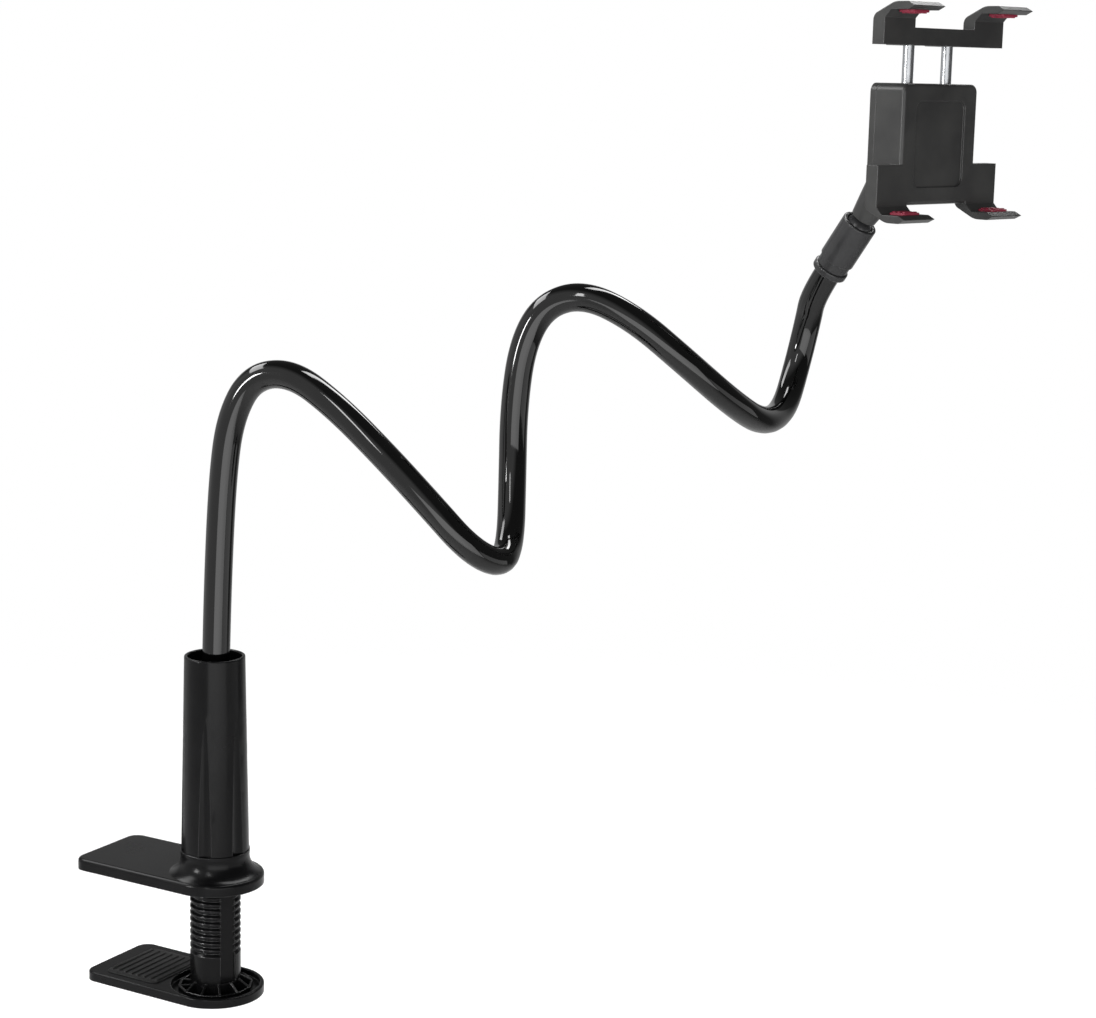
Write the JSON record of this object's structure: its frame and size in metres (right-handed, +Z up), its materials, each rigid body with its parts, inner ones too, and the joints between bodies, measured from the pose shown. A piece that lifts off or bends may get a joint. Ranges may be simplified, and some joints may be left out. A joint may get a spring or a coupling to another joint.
{
  "type": "gooseneck clamp holder",
  "caption": "Bendable gooseneck arm on a screw clamp, ending in a ball joint with a spring-loaded clip of padded claws that holds a flat device.",
  "frame": {"origin": "centre of the upper jaw's grip pad, on its gripping face", "axes": "+Z up along the clamp's column, +Y from the column into the gripped board, +X along the board's edge"},
  "size_m": [0.1933, 0.2853, 0.3628],
  "materials": {
    "clamp_plastic": "satin moulded",
    "arm_skin": "glossy extruded skin",
    "grip_rubber": "matte",
    "steel": "drawn",
    "joint_plastic": "fine matte",
    "clip_plastic": "fine matte",
    "claw_rubber": "dark red, satin"
  },
  "bodies": {
    "clamp": {"upper_jaw": "clamp_plastic", "upper_jaw_pad": "grip_rubber", "column_retaining_ring": "steel"},
    "column": {"column": "clamp_plastic"},
    "lower_jaw": {"lower_jaw": "clamp_plastic", "lower_jaw_pad": "grip_rubber", "arm_base_plug": "steel", "arm_fixing_screw": "steel"},
    "arm": {"gooseneck": "arm_skin", "arm_socket": "joint_plastic"},
    "lock_sleeve": {"lock_sleeve": "joint_plastic"},
    "ball_cup": {"ball_cup": "joint_plastic"},
    "clip": {"ball_stud": "joint_plastic", "clip_back_cover": "clip_plastic", "cover_screws": "steel", "clip_body": "clip_plastic", "clip_spring_left": "steel", "clip_spring_right": "steel", "lower_claw_pad_left": "claw_rubber", "lower_claw_pad_right": "claw_rubber"},
    "clip_slider": {"clip_slider": "clip_plastic", "guide_rod_left": "steel", "guide_rod_right": "steel", "upper_claw_pad_left": "claw_rubber", "upper_claw_pad_right": "claw_rubber"}
  },
  "joints": [
    {"name": "column_turn", "type": "hinge", "parent": "clamp", "child": "column", "pos_m": [0, -0.029, 0], "axis": [0, 0, 1], "range_deg": [-4480, 4760]},
    {"name": "jaw_slide", "type": "slide", "parent": "clamp", "child": "lower_jaw", "axis": [0, 0, 1], "range_m": [-0.033, 0.0311]},
    {"name": "arm_bend", "type": "hinge", "parent": "lower_jaw", "child": "arm", "pos_m": [0, -0.029, 0.12], "axis": [0.8102, 0.5861, 0], "range_deg": [-20, 25], "deforming": ["gooseneck"]},
    {"name": "sleeve_turn", "type": "hinge", "parent": "arm", "child": "lock_sleeve", "pos_m": [0.15126, -0.2062, 0.2412], "axis": [-0.1632, -0.5691, 0.8059], "range_deg": [0, 120]},
    {"name": "ball_swivel", "type": "hinge", "parent": "arm", "child": "ball_cup", "pos_m": [0.15126, -0.2062, 0.2412], "axis": [-0.1632, -0.5691, 0.8059], "continuous": true},
    {"name": "ball_tilt", "type": "hinge", "parent": "ball_cup", "child": "clip", "pos_m": [0.15126, -0.2062, 0.2412], "axis": [0.9613, -0.2756, 0], "range_deg": [-22, 22]},
    {"name": "clip_open", "type": "slide", "parent": "clip", "child": "clip_slider", "axis": [0, 0, 1], "range_m": [-0.0128, 0.013], "stiffness_N_per_m": 250, "springref_m": -0.0128, "deforming": ["clip_spring_left", "clip_spring_right"]}
  ],
  "couplings": [
    {"joint": "column_turn", "follows": "jaw_slide", "rad_per_m": -2513.3}
  ]
}
